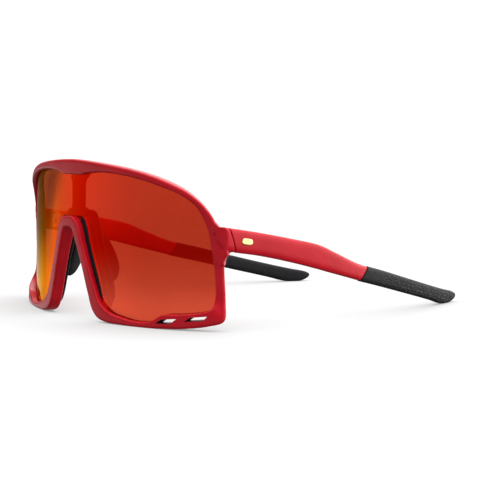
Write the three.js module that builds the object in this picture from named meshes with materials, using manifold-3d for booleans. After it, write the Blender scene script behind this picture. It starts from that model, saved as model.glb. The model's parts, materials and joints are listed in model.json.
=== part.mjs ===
// Wraparound sport sunglasses, resting on their lower rims and temple tips.
// Millimetres. +X is the wearer's left, +Y runs from the lens to the temple tips, +Z is up.
//
// The front is a sheet wrapped on a cylinder. A place on it is (u, v, w): u along the wrap from the
// middle, v up from the floor and w out from the lens, which fills w = -LENS_THICKNESS to 0.
// Left-hand pieces are built first and mirrored to make the right-hand ones.

import * as THREE from 'three';
import { mergeVertices } from 'three/addons/utils/BufferGeometryUtils.js';
import Module from 'manifold-3d';

const wasm = await Module();
wasm.setup();

const DEGREE = Math.PI / 180;
const GAP = 0.3; // clearance between pieces that touch

// Front
const WRAP_RADIUS = 109;
const FACE_TILT = 1.1 * DEGREE; // the top of the front leans back
const LENS_THICKNESS = 1.6;
const LENS_INSERTION = 1.2; // how far the lens edge runs under the rim
const RIM_BACK = -2.9;
const EDGE_ROUND = 0.5;
const OUTER_ROUND = 0.9;
const SIDE_DRAFT = 1.3; // the sides' outer wall leans in by this towards the back
const DRAFT_START = 50; // u
const DRAFT_FULL = 74;
const LENS_COLUMNS = 52;
const LENS_ROWS = 3;

// Rim edges from the middle of the brow, down the side, along the bottom and up to the middle of the
// nose arch. Each pair of points is one station of the rim: [u, v] beside the lens, and
// [u, v, front] at the outside, where front is the height of the rim's face over the lens.
const RIM = [
  { lens: [0, 56.4], outside: [0, 62.4, 0.9] },
  { lens: [6.6, 56.4], outside: [7, 62.2, 0.9] },
  { lens: [10.5, 57.2], outside: [12, 61.9, 1] },
  { lens: [20, 57.8], outside: [21, 61.2, 1.2] },
  { lens: [31, 57.1], outside: [32.5, 59.9, 1.5] },
  { lens: [40, 55.7], outside: [42.5, 58, 1.7] },
  { lens: [49, 53.4], outside: [52, 55.2, 1.9] },
  { lens: [57, 50.7], outside: [60.5, 51.5, 2] },
  { lens: [63, 46.7], outside: [67.2, 46, 1.6] },
  { lens: [67, 40.2], outside: [71.2, 40.1, 1.2] },
  { lens: [69.6, 30.1], outside: [73.9, 30, 1.2] },
  { lens: [70.9, 20], outside: [74.6, 20, 1.2] },
  { lens: [71.2, 12.5], outside: [75.2, 11.5, 1.6] },
  { lens: [70.2, 8.9], outside: [75.1, 4.5, 3] },
  { lens: [66, 7.4], outside: [69.2, 2.3, 3.3] },
  { lens: [58, 6.2], outside: [59, 0.8, 3.2] },
  { lens: [50.6, 5.5], outside: [51, 0.3, 3] },
  { lens: [45.4, 2.8], outside: [45, 0, 2.6] },
  { lens: [38, 2.2], outside: [38, -0.1, 2.2] },
  { lens: [31, 3.1], outside: [30.5, 0.1, 2] },
  { lens: [25, 4.5], outside: [23.5, 0.4, 2] },
  { lens: [21, 6.8], outside: [18.4, 1.8, 2] },
  { lens: [19.2, 8.6], outside: [15.2, 5, 2] },
  { lens: [17.1, 12.5], outside: [12.6, 11, 2] },
  { lens: [12.9, 21.7], outside: [8.6, 21.8, 2.2] },
  { lens: [9.4, 30], outside: [5.3, 29.8, 2.5] },
  { lens: [6.4, 37.3], outside: [2.9, 34.9, 2.7] },
  { lens: [3.4, 39.9], outside: [1.5, 35.6, 2.8] },
  { lens: [0, 40.1], outside: [0, 35.6, 2.8] },
];
const LAST_STATION = RIM.length - 1;
const RIM_STEPS = 2; // between two stations
const HIGH_SIDE_STATION = 10.4; // the lens is split into an upper and a lower edge between these
const LOW_SIDE_STATION = 10.8;
const ARCH_START = 21.2; // the rim turns up into the nose arch from here
const ARCH_FULL = 22.4;
const VENT_SLOTS = [
  [[50.5, 3.9], [48, 2.2], [54.3, 2.6], [56.7, 4.5]],
  [[62.2, 5.3], [59.9, 3.7], [67.3, 4.5], [68.8, 6.1]],
];

// Temple
const TEMPLE_X = 71; // outer face
const TEMPLE_BEND_Y = 60; // the temple curves towards the head from here
const TEMPLE_BEND = 0.0021;
const TONGUE_END = 7.6; // rung where the tongue in the rubber tip stops
const TONGUE = { height: 0.45, thickness: 0.36 }; // parts of the temple's own section
const TIP_STEP = 0.25; // the rubber stands this far proud of the temple
const RUNG_STEPS = 2; // sections between two rungs

// Temple from the hinge to the end of the tip: [y, z] along the top and [y, z, thickness] below it.
const TEMPLE = [
  { top: [26.1, 38.6], bottom: [28.9, 29.2, 3.6] },
  { top: [40, 36.2], bottom: [40.5, 27.3, 3.6] },
  { top: [56, 33], bottom: [55, 24.1, 3.4] },
  { top: [69, 30], bottom: [67, 21, 3.2] },
  { top: [78, 26.3], bottom: [75, 18.8, 3.2] },
  { top: [88, 22.1], bottom: [84, 16.4, 3.3] },
  { top: [94.6, 20], bottom: [90.3, 14.7, 3.4] },
  { top: [104, 17.6], bottom: [101, 12.1, 3.6] },
  { top: [122, 12.7], bottom: [120, 7.3, 3.8] },
  { top: [140, 8], bottom: [138, 2.75, 3.8] },
  { top: [149.5, 5.7], bottom: [147.5, 0.25, 3.6] },
  { top: [155.5, 4.4], bottom: [153.5, 0.2, 3.2] },
  { top: [158.5, 3.1], bottom: [158, 1.8, 1.8] },
];
const LAST_RUNG = TEMPLE.length - 1;
const TIP_RUNG = 6;
const TIP_GAP = 0.03; // in rungs
const JOINT_GAP = 0.022; // in rungs, between the lug and the temple
const LUG_RUNG = -0.45;
const LUG_FACE = [[66, 26], [80, 26], [80, 42], [66, 42]]; // the lug's front follows the rim's face here
const LUG_FRONT = 2;

// Hinge
const PIVOT_X = 64.6;
const PIVOT_Y = 30.3;
const KNUCKLE_RADIUS = 1.7;
const PIN_RADIUS = 0.8;
const PIN_CLEARANCE = 0.07;
const PIN_HEAD_RADIUS = 1.4;
const HINGE_HEIGHTS = [30.4, 36];
const KNUCKLE_HEIGHTS = [32.3, 34.1]; // the temple's knuckle, between the front's two
const SEAT_Y = 27; // back face of the lug, where the front hinge sits
const SEAT_OUTLINE = [[62.2, 22.9], [66.4, 24], [68.4, 24], [68.4, 25.4], [67, 25.8], [67, 27], [62.2, 27]];
const PLATE_THICKNESS = 1;
const ANCHOR_RADIUS = 0.7;
const ANCHOR_X = 64;
const ANCHOR_DEPTH = 2.5;
const ANCHOR_HEIGHTS = [31.6, 34.8];
const LEAF_X = [66, 67.1];
const LEAF_OUTLINE = [[32.2, 31.2], [43, 29.9], [43, 33.9], [32.2, 35.6]];

// Small screws
const SCREW_RADIUS = 0.6;
const SCREW_HEAD_RADIUS = 1.1;
const SCREW_HEAD_HEIGHT = 0.7;
const SCREW_CLEARANCE = 0.2;
const LEAF_SCREWS = [[35, 33.3], [40.3, 32.2]];
const LEAF_SCREW_END_X = 69;
const SLOT_WIDTH = 0.4;
const SLOT_DEPTH = 0.3;

// Nose carrier and pads. s is measured across the arch from the lens opening towards the nose.
const LIP_SPACE = 1.8; // between the arch and the lens
const LIP_FRONT = 1.6;
const FOOT_WIDTH = 3;
const CARRIER_W = [-4.6, -3.2];
const CARRIER_STEPS = 28;
const POST_OUTLINE = [[-4.5, 38], [4.5, 38], [4.5, 54.2], [6, 56.4], [6, 60.6], [-6, 60.6],
  [-6, 56.4], [-4.5, 54.2]];
const POST_SCREW_V = 59.3;
const POST_SCREW_TIP = -0.8;
const PAD_PLACE = [11.4, 5.6, 22];
const PAD_LEAN = 22 * DEGREE;
const PAD_FLARE = 20 * DEGREE;
const PAD_THICKNESS = 3.4;
const PAD_BEVEL = 0.8;
const PAD_OUTLINE = [[2, -6], [1.3, 4], [2.4, 9], [4.4, 9.8], [6.4, 6], [8.3, 0], [8.6, -4],
  [7, -8], [4.6, -9.2], [2.7, -8.4]]; // [back, up]
const TAB_BACK = 5.6;
const TAB_FRONT = -0.7;
const TAB_HEIGHTS = [-4, 4];
const TAB_THICKNESS = 1.2;

// Inlay on the outside of each temple
const INLAY_PLACE = [33.6, 33.1];
const INLAY_SLOPE = -9 * DEGREE;
const INLAY_LENGTH = 5;
const INLAY_HEIGHT = 2.4;
const INLAY_X = [70.7, 71.3];

const finish = {
  red: { color: 0xb8222c, roughness: 0.38, metalness: 0.1 },
  mirror: { color: 0xd0501e, roughness: 0.08, metalness: 0.8 },
  black: { color: 0x1a1a1c, roughness: 0.5, metalness: 0 },
  rubber: { color: 0x2b2c30, roughness: 0.85, metalness: 0 },
  gold: { color: 0xd9b36a, roughness: 0.3, metalness: 0.9 },
  steel: { color: 0x9a9da2, roughness: 0.35, metalness: 1 },
};

// --- geometry helpers ---------------------------------------------------------------------------

function solid(geometry) {
  const plain = geometry.clone();
  plain.deleteAttribute('normal');
  plain.deleteAttribute('uv');
  const merged = mergeVertices(plain, 1e-4);
  const vertProperties = new Float32Array(merged.attributes.position.array);
  const triVerts = new Uint32Array(merged.index.array);
  return new wasm.Manifold(new wasm.Mesh({ numProp: 3, vertProperties, triVerts }));
}

function surface(manifold) {
  const mesh = manifold.getMesh();
  const geometry = new THREE.BufferGeometry();
  geometry.setAttribute('position', new THREE.BufferAttribute(new Float32Array(mesh.vertProperties), 3));
  geometry.setIndex(new THREE.BufferAttribute(new Uint32Array(mesh.triVerts), 1));
  return geometry;
}

function mirrored(geometry) {
  const other = geometry.clone();
  other.scale(-1, 1, 1);
  const index = other.index;
  for (let i = 0; i < index.count; i += 3) {
    const second = index.getX(i + 1);
    index.setX(i + 1, index.getX(i + 2));
    index.setX(i + 2, second);
  }
  return other;
}

function withMirror(manifold) {
  return manifold.add(solid(mirrored(surface(manifold))));
}

// Moves every vertex of a geometry to place(x, y, z).
function moved(geometry, place) {
  const position = geometry.attributes.position;
  for (let i = 0; i < position.count; i++) {
    const to = place(position.getX(i), position.getY(i), position.getZ(i));
    position.setXYZ(i, to.x, to.y, to.z);
  }
  return geometry;
}

function box(low, high) {
  const geometry = new THREE.BoxGeometry(high[0] - low[0], high[1] - low[1], high[2] - low[2]);
  geometry.translate((low[0] + high[0]) / 2, (low[1] + high[1]) / 2, (low[2] + high[2]) / 2);
  return solid(geometry);
}

function outlineShape(corners) {
  return new THREE.Shape(corners.map(([x, y]) => new THREE.Vector2(x, y)));
}

function prism(corners, from, to) {
  const settings = { depth: to - from, bevelEnabled: false };
  return new THREE.ExtrudeGeometry(outlineShape(corners), settings).translate(0, 0, from);
}

// Turns a geometry drawn as (y, z, x) to stand in its place.
function sideways(geometry) {
  return geometry.rotateX(Math.PI / 2).rotateZ(Math.PI / 2);
}

function alongZ(radius, x, y, [bottom, top], sides = 24) {
  const geometry = new THREE.CylinderGeometry(radius, radius, top - bottom, sides);
  return solid(geometry.rotateX(Math.PI / 2).translate(x, y, (bottom + top) / 2));
}

function alongY(radius, x, [front, back], z) {
  const geometry = new THREE.CylinderGeometry(radius, radius, back - front, 12);
  return solid(geometry.translate(x, (front + back) / 2, z));
}

function alongX(radius, [from, to], y, z) {
  const geometry = new THREE.CylinderGeometry(radius, radius, to - from, 12);
  return solid(geometry.rotateZ(Math.PI / 2).translate((from + to) / 2, y, z));
}

function curveThrough(points) {
  const places = points.map(([x, y, z = 0]) => new THREE.Vector3(x, y, z));
  return new THREE.CatmullRomCurve3(places, false, 'centripetal');
}

// --- the wrapped front --------------------------------------------------------------------------

function onFront(u, v, w) {
  const radius = WRAP_RADIUS + w;
  const angle = u / WRAP_RADIUS;
  const depth = WRAP_RADIUS - radius * Math.cos(angle);
  return new THREE.Vector3(
    radius * Math.sin(angle),
    depth * Math.cos(FACE_TILT) + v * Math.sin(FACE_TILT),
    v * Math.cos(FACE_TILT) - depth * Math.sin(FACE_TILT),
  );
}

const lensEdge = curveThrough(RIM.map((station) => station.lens));
const outerEdge = curveThrough(RIM.map((station) => station.outside));

// edge(s) is a place across the rim, from the lens opening (0) to the outside (width).
function rimAt(station) {
  const inner = lensEdge.getPoint(station / LAST_STATION);
  const outer = outerEdge.getPoint(station / LAST_STATION);
  const across = new THREE.Vector2(outer.x - inner.x, outer.y - inner.y);
  const width = across.length();
  across.divideScalar(width);
  const edge = (s) => [inner.x + across.x * s, inner.y + across.y * s];
  return { edge, width, front: outer.z };
}

function rimSection(width, front, draft) {
  return [
    [0, Math.max(front - EDGE_ROUND, GAP + 0.1)],
    [EDGE_ROUND, front],
    [width - OUTER_ROUND, front],
    [width, front - OUTER_ROUND],
    [width - draft, RIM_BACK + EDGE_ROUND],
    [width - draft - EDGE_ROUND, RIM_BACK],
    [EDGE_ROUND, RIM_BACK],
    [0, RIM_BACK + EDGE_ROUND],
  ];
}

// A torus whose turns are the stations of the rim and whose sides are the rim's section.
function rimRing() {
  const turns = 2 * LAST_STATION * RIM_STEPS;
  const sides = rimSection(1, 1, 0).length;
  const geometry = new THREE.TorusGeometry(2, 1, sides, turns);
  const { position, uv } = geometry.attributes;
  for (let i = 0; i < position.count; i++) {
    const turn = Math.round(uv.getX(i) * turns) % turns;
    const side = Math.round(uv.getY(i) * sides) % sides;
    const leftHalf = turn <= turns / 2;
    const rim = rimAt((leftHalf ? turn : turns - turn) / RIM_STEPS);
    const [outerU] = rim.edge(rim.width);
    const draft = SIDE_DRAFT * THREE.MathUtils.smoothstep(outerU, DRAFT_START, DRAFT_FULL);
    const [s, w] = rimSection(rim.width, rim.front, draft)[side];
    const [u, v] = rim.edge(s);
    const to = onFront(leftHalf ? u : -u, v, w);
    position.setXYZ(i, to.x, to.y, to.z);
  }
  return solid(geometry);
}

// Under the rim the lens edge is hidden. Round the arch it stops short of the nose carrier's lip.
function lensReach(station, insertion) {
  const arch = THREE.MathUtils.smoothstep(station, ARCH_START, ARCH_FULL);
  return THREE.MathUtils.lerp(insertion, -LIP_SPACE, arch);
}

// A slab that fills the lens opening, made of nearly upright rungs from its lower edge to the brow.
function lensSlab(insertion, backW, frontW) {
  const sheet = new THREE.BoxGeometry(1, 1, 1, LENS_COLUMNS, LENS_ROWS, 1);
  return solid(moved(sheet, (x, y, z) => {
    const out = Math.abs(x) * 2;
    const lowStation = THREE.MathUtils.lerp(LAST_STATION, LOW_SIDE_STATION, out);
    const high = rimAt(out * HIGH_SIDE_STATION).edge(insertion);
    const low = rimAt(lowStation).edge(lensReach(lowStation, insertion));
    const u = THREE.MathUtils.lerp(low[0], high[0], y + 0.5);
    const v = THREE.MathUtils.lerp(low[1], high[1], y + 0.5);
    return onFront(Math.sign(x) * u, v, z < 0 ? backW : frontW);
  }));
}

// A bar square to the front: corners are [u, v], counter-clockwise seen from the front.
function frontPrism(corners, backW, frontW) {
  return solid(moved(prism(corners, 0, 1), (u, v, z) => onFront(u, v, z < 0.5 ? backW : frontW)));
}

function hingeLug() {
  const end = templeBar(LUG_RUNG, -JOINT_GAP, {}).intersect(frontPrism(LUG_FACE, -12, LUG_FRONT));
  return end.add(solid(prism(SEAT_OUTLINE, ...HINGE_HEIGHTS)));
}

function frontFrame() {
  const pocket = lensSlab(LENS_INSERTION + GAP, -LENS_THICKNESS - GAP, GAP);
  let frame = rimRing().add(withMirror(hingeLug())).subtract(pocket).subtract(postScrew(SCREW_CLEARANCE));
  for (const slot of VENT_SLOTS) {
    frame = frame.subtract(withMirror(frontPrism(slot, -8, 8)));
  }
  for (const z of ANCHOR_HEIGHTS) {
    const hole = alongY(ANCHOR_RADIUS + GAP, ANCHOR_X, [SEAT_Y - ANCHOR_DEPTH, SEAT_Y + 1], z);
    frame = frame.subtract(withMirror(hole));
  }
  return surface(frame.subtract(floor()));
}

// Everything below the surface that the sunglasses rest on.
function floor() {
  return box([-100, -20, -5], [100, 180, 0]);
}

function shieldLens() {
  return surface(lensSlab(LENS_INSERTION, -LENS_THICKNESS, 0));
}

// --- nose carrier, pads and the carrier's screw ----------------------------------------------------

// An L-shaped bar that follows the arch: a lip between the arch and the lens and a foot behind both.
function carrierArch() {
  const section = [
    [-LIP_SPACE + GAP, CARRIER_W[0]],
    [FOOT_WIDTH, CARRIER_W[0]],
    [FOOT_WIDTH, CARRIER_W[1]],
    [-GAP, CARRIER_W[1]],
    [-GAP, LIP_FRONT],
    [-LIP_SPACE + GAP, LIP_FRONT],
  ];
  const bar = new THREE.ExtrudeGeometry(outlineShape(section), {
    depth: 2,
    steps: CARRIER_STEPS,
    bevelEnabled: false,
  });
  return solid(moved(bar, (s, w, z) => {
    const station = THREE.MathUtils.lerp(LAST_STATION, ARCH_FULL, Math.abs(1 - z));
    const [u, v] = rimAt(station).edge(s);
    return onFront(Math.sign(1 - z) * u, v, w);
  }));
}

// A flat piece in the plane of the nose pad. Its outline is [back, up].
function padPiece(shape, thickness, bevel) {
  const geometry = new THREE.ExtrudeGeometry(shape, {
    depth: thickness - 2 * bevel,
    bevelEnabled: bevel > 0,
    bevelSize: bevel,
    bevelThickness: bevel,
    bevelOffset: -bevel,
    bevelSegments: 2,
    curveSegments: 24,
  });
  geometry.translate(0, 0, bevel - thickness / 2);
  sideways(geometry).rotateY(-PAD_LEAN).rotateZ(-PAD_FLARE).translate(...PAD_PLACE);
  return solid(geometry);
}

function padShape() {
  const curve = new THREE.CatmullRomCurve3(
    PAD_OUTLINE.map(([back, up]) => new THREE.Vector3(back, up, 0)), true, 'centripetal',
  );
  return outlineShape(curve.getPoints(28).slice(0, -1).map((point) => [point.x, point.y]));
}

function tab(front, grow) {
  const [low, high] = TAB_HEIGHTS;
  const corners = [
    [front, low - grow],
    [TAB_BACK + grow, low - grow],
    [TAB_BACK + grow, high + grow],
    [front, high + grow],
  ];
  return padPiece(outlineShape(corners), TAB_THICKNESS + 2 * grow, 0);
}

function nosePad() {
  return surface(padPiece(padShape(), PAD_THICKNESS, PAD_BEVEL).subtract(tab(-3, GAP)));
}

function noseCarrier() {
  const post = frontPrism(POST_OUTLINE, ...CARRIER_W);
  const body = carrierArch().add(post).add(withMirror(tab(TAB_FRONT, 0)));
  return surface(body.subtract(postScrew(SCREW_CLEARANCE)));
}

function squareToFront(radius, backW, frontW) {
  const geometry = new THREE.CylinderGeometry(radius, radius, frontW - backW, 12);
  const at = onFront(0, POST_SCREW_V, (backW + frontW) / 2);
  return solid(geometry.rotateX(-FACE_TILT).translate(at.x, at.y, at.z));
}

function postScrew(clearance) {
  const backW = CARRIER_W[0] - SCREW_HEAD_HEIGHT;
  return squareToFront(SCREW_RADIUS + clearance, backW, POST_SCREW_TIP + clearance);
}

function carrierScrew() {
  const under = CARRIER_W[0] - SCREW_CLEARANCE;
  const head = squareToFront(SCREW_HEAD_RADIUS, under - SCREW_HEAD_HEIGHT, under);
  const back = onFront(0, POST_SCREW_V, under - SCREW_HEAD_HEIGHT).y;
  const slot = box(
    [-SLOT_WIDTH / 2, back - SLOT_DEPTH, POST_SCREW_V - 2],
    [SLOT_WIDTH / 2, back + 1, POST_SCREW_V + 2],
  );
  return surface(postScrew(0).add(head).subtract(slot));
}

// --- temples ------------------------------------------------------------------------------------

const topLine = curveThrough(TEMPLE.map((rung) => rung.top));
const bottomLine = curveThrough(TEMPLE.map((rung) => rung.bottom));

// Ahead of the first rung the line runs straight on.
function lineAt(line, rung) {
  const start = line.getPoint(0);
  const next = line.getPoint(0.25 / LAST_RUNG);
  return rung < 0 ? start.addScaledVector(next.sub(start), 4 * rung) : line.getPoint(rung / LAST_RUNG);
}

// A rounded bar between two rungs of the temple. grow widens it all round; height and thickness
// are the parts of the temple's own section that it fills.
function templeBar(from, to, { grow = 0, height = 1, thickness = 1 }) {
  const steps = Math.max(1, Math.round((to - from) * RUNG_STEPS));
  const bar = new THREE.BoxGeometry(2, 1, 2, 3, steps, 4);
  return solid(moved(bar, (x, y, z) => {
    const rung = THREE.MathUtils.lerp(from, to, y + 0.5);
    const high = lineAt(topLine, rung);
    const low = lineAt(bottomLine, rung);
    const rounding = Math.max(Math.abs(x), Math.abs(z)) / Math.hypot(x ** 3, z ** 3) ** (1 / 3) || 1;
    const halfHeight = Math.hypot(high.x - low.x, high.y - low.y) / 2;
    const up = z * rounding * (height + grow / halfHeight) / 2;
    const middleY = (high.x + low.x) / 2;
    const placeY = middleY + (high.x - low.x) * up;
    const faceX = TEMPLE_X - TEMPLE_BEND * Math.max(0, placeY - TEMPLE_BEND_Y) ** 2;
    const across = x * rounding * (thickness * low.z / 2 + grow);
    const placeZ = (high.y + low.y) / 2 + (high.y - low.y) * up;
    return new THREE.Vector3(faceX - low.z / 2 + across, placeY, placeZ);
  }));
}

function inlayShape(grow) {
  const radius = INLAY_HEIGHT / 2 + grow;
  const half = (INLAY_LENGTH - INLAY_HEIGHT) / 2;
  const shape = new THREE.Shape();
  shape.absarc(half, 0, radius, -Math.PI / 2, Math.PI / 2);
  shape.absarc(-half, 0, radius, Math.PI / 2, 1.5 * Math.PI);
  return shape;
}

function inlay(grow, fromX) {
  const geometry = new THREE.ExtrudeGeometry(inlayShape(grow), {
    depth: INLAY_X[1] - fromX,
    bevelEnabled: false,
    curveSegments: 8,
  });
  geometry.rotateZ(INLAY_SLOPE);
  return solid(sideways(geometry).translate(fromX, ...INLAY_PLACE));
}

function temple() {
  const tongue = templeBar(TIP_RUNG - 0.2, TONGUE_END, TONGUE);
  let body = templeBar(0, TIP_RUNG, {}).add(tongue).subtract(inlay(GAP, INLAY_X[0] - GAP));
  for (const [y, z] of LEAF_SCREWS) {
    const hole = [LEAF_X[1], LEAF_SCREW_END_X + GAP];
    body = body.subtract(alongX(SCREW_RADIUS + SCREW_CLEARANCE, hole, y, z));
  }
  return surface(body);
}

function templeTip() {
  const sleeve = templeBar(TIP_RUNG + TIP_GAP, LAST_RUNG, { grow: TIP_STEP });
  const socket = templeBar(TIP_RUNG - 0.2, TONGUE_END + TIP_GAP, { ...TONGUE, grow: GAP });
  return surface(sleeve.subtract(socket).subtract(floor()));
}

// --- hinges -------------------------------------------------------------------------------------

function pinBore() {
  return alongZ(PIN_RADIUS + PIN_CLEARANCE, PIVOT_X, PIVOT_Y, [HINGE_HEIGHTS[0] - 1, HINGE_HEIGHTS[1] + 1]);
}

function frontHinge() {
  const [bottom, top] = HINGE_HEIGHTS;
  const plateY = SEAT_Y + GAP;
  const plateBack = plateY + PLATE_THICKNESS;
  const side = KNUCKLE_RADIUS;
  let body = box([PIVOT_X - side - 0.5, plateY, bottom], [PIVOT_X + side + 0.3, plateBack, top]);
  for (const heights of [[bottom, KNUCKLE_HEIGHTS[0] - GAP], [KNUCKLE_HEIGHTS[1] + GAP, top]]) {
    const web = box([PIVOT_X - side, plateBack - 0.2, heights[0]], [PIVOT_X + side, PIVOT_Y, heights[1]]);
    body = body.add(web).add(alongZ(side, PIVOT_X, PIVOT_Y, heights));
  }
  for (const z of ANCHOR_HEIGHTS) {
    const reach = [SEAT_Y - ANCHOR_DEPTH + GAP, plateY + 0.2];
    body = body.add(alongY(ANCHOR_RADIUS, ANCHOR_X, reach, z));
  }
  return surface(body.subtract(pinBore()));
}

function templeHinge() {
  const leaf = solid(sideways(prism(LEAF_OUTLINE, ...LEAF_X)));
  const [low, high] = KNUCKLE_HEIGHTS;
  const web = box([PIVOT_X, PIVOT_Y - 0.7, low], [LEAF_X[1], LEAF_OUTLINE[0][0] + 1, high]);
  const knuckle = alongZ(KNUCKLE_RADIUS, PIVOT_X, PIVOT_Y, KNUCKLE_HEIGHTS);
  let body = leaf.add(web).add(knuckle).subtract(pinBore());
  for (const [y, z] of LEAF_SCREWS) {
    body = body.subtract(alongX(SCREW_RADIUS + SCREW_CLEARANCE, [LEAF_X[0] - 1, LEAF_X[1] + 1], y, z));
  }
  return surface(body);
}

function hingeScrew() {
  const [bottom, top] = HINGE_HEIGHTS;
  const headBottom = top + SCREW_CLEARANCE;
  const headTop = headBottom + SCREW_HEAD_HEIGHT;
  const pin = alongZ(PIN_RADIUS, PIVOT_X, PIVOT_Y, [bottom + 0.2, headTop - 0.1]);
  const head = alongZ(PIN_HEAD_RADIUS, PIVOT_X, PIVOT_Y, [headBottom, headTop]);
  const slot = box(
    [PIVOT_X - 2, PIVOT_Y - SLOT_WIDTH / 2, headTop - SLOT_DEPTH],
    [PIVOT_X + 2, PIVOT_Y + SLOT_WIDTH / 2, headTop + 1],
  );
  return surface(pin.add(head).subtract(slot));
}

function leafScrew([y, z]) {
  const under = LEAF_X[0] - SCREW_CLEARANCE;
  const back = under - SCREW_HEAD_HEIGHT;
  const shank = alongX(SCREW_RADIUS, [under - 0.1, LEAF_SCREW_END_X], y, z);
  const head = alongX(SCREW_HEAD_RADIUS, [back, under], y, z);
  const slot = box([back - 1, y - SLOT_WIDTH / 2, z - 2], [back + SLOT_DEPTH, y + SLOT_WIDTH / 2, z + 2]);
  return surface(shank.add(head).subtract(slot));
}

// --- assembly -----------------------------------------------------------------------------------

function piece(name, geometry, material) {
  const faceted = geometry.toNonIndexed();
  faceted.computeVertexNormals();
  const mesh = new THREE.Mesh(faceted, new THREE.MeshStandardMaterial(material));
  mesh.name = name;
  return mesh;
}

function pair(name, geometry, material) {
  return [piece(`${name}_left`, geometry, material), piece(`${name}_right`, mirrored(geometry), material)];
}

const sunglasses = new THREE.Group();
sunglasses.add(
  piece('front_frame', frontFrame(), finish.red),
  piece('shield_lens', shieldLens(), finish.mirror),
  piece('nose_carrier', noseCarrier(), finish.black),
  piece('carrier_screw', carrierScrew(), finish.steel),
  ...pair('nose_pad', nosePad(), finish.rubber),
  ...pair('temple', temple(), finish.red),
  ...pair('temple_tip', templeTip(), finish.rubber),
  ...pair('temple_inlay', surface(inlay(0, INLAY_X[0])), finish.gold),
  ...pair('front_hinge', frontHinge(), finish.steel),
  ...pair('temple_hinge', templeHinge(), finish.steel),
  ...pair('hinge_screw', hingeScrew(), finish.steel),
  ...pair('leaf_screw_front', leafScrew(LEAF_SCREWS[0]), finish.steel),
  ...pair('leaf_screw_back', leafScrew(LEAF_SCREWS[1]), finish.steel),
);

// The origin is under the middle of the object, on the surface it rests on.
const bounds = new THREE.Box3().setFromObject(sunglasses);
sunglasses.position.set(0, -(bounds.min.y + bounds.max.y) / 2, 0);

export default sunglasses;
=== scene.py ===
"""Wraparound sport sunglasses: the looks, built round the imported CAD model.

Sizes are millimetres in the front's own coordinates and become metres in to_row(). The front is a
sheet wrapped on a cylinder: u runs along the wrap from the middle, v up and w out from the lens.
"""

import json
import math

import bmesh
import bpy
import numpy as np
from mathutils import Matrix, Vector


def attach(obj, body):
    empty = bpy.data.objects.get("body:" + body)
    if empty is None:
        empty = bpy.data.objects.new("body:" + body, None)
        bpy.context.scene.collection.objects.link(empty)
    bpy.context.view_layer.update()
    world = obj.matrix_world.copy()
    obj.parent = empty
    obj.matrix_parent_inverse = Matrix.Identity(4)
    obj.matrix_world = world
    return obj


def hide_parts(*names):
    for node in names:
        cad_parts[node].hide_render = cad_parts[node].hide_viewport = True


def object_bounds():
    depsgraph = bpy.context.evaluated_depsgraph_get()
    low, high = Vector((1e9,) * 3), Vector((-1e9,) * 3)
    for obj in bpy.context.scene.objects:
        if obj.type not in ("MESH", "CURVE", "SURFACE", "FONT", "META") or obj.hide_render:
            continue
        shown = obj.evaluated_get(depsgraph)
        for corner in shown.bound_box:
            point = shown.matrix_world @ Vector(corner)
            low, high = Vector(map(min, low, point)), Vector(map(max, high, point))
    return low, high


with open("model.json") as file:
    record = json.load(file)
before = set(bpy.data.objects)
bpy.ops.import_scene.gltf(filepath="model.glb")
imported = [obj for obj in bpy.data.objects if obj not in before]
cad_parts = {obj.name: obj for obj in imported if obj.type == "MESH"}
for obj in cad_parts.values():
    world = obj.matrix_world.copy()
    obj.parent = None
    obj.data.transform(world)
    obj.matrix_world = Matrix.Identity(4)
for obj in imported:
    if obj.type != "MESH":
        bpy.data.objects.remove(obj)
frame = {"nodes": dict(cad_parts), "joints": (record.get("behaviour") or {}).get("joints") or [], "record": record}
cad_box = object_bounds()

# --- driving dimensions: the CAD model's, but for LIP_SPACE and PAD_PLACE ----------------------------

MM = 0.001
WRAP_RADIUS = 109
FACE_TILT = math.radians(1.1)
LENS_THICKNESS = 1.6
LENS_INSERTION = 1.2
RIM_BACK = -2.9
SIDE_DRAFT = 1.3
PIVOT_Y = 30.3
CARRIER_W = (-4.6, -3.2)

# the face coordinates start at the middle of the lens, PIVOT_Y ahead of the hinge pins
FACE_Y = frame["joints"][0]["pos_m"][1] / MM - PIVOT_Y

# Rim stations from the middle of the brow round to the middle of the nose arch: the edge beside the
# lens (u, v), then the outside edge (u, v) and the height of the rim's face over the lens.
RIM = [
    ((0, 56.4), (0, 62.4, 0.9)),
    ((6.6, 56.4), (7, 62.2, 0.9)),
    ((10.5, 57.2), (12, 61.9, 1)),
    ((20, 57.8), (21, 61.2, 1.2)),
    ((31, 57.1), (32.5, 59.9, 1.5)),
    ((40, 55.7), (42.5, 58, 1.7)),
    ((49, 53.4), (52, 55.2, 1.9)),
    ((57, 50.7), (60.5, 51.5, 2)),
    ((63, 46.7), (67.2, 46, 1.6)),
    ((67, 40.2), (71.2, 40.1, 1.2)),
    ((69.6, 30.1), (73.9, 30, 1.2)),
    ((70.9, 20), (74.6, 20, 1.2)),
    ((71.2, 12.5), (75.2, 11.5, 1.6)),
    ((70.2, 8.9), (75.1, 4.5, 3)),
    ((66, 7.4), (69.2, 2.3, 3.3)),
    ((58, 6.2), (59, 0.8, 3.2)),
    ((50.6, 5.5), (51, 0.3, 3)),
    ((45.4, 2.8), (45, 0, 2.6)),
    ((38, 2.2), (38, -0.1, 2.2)),
    ((31, 3.1), (30.5, 0.1, 2)),
    ((25, 4.5), (23.5, 0.4, 2)),
    ((21, 6.8), (18.4, 1.8, 2)),
    ((19.2, 8.6), (15.2, 5, 2)),
    ((17.1, 12.5), (12.6, 11, 2)),
    ((12.9, 21.7), (8.6, 21.8, 2.2)),
    ((9.4, 30), (5.3, 29.8, 2.5)),
    ((6.4, 37.3), (2.9, 34.9, 2.7)),
    ((3.4, 39.9), (1.5, 35.6, 2.8)),
    ((0, 40.1), (0, 35.6, 2.8)),
]
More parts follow.
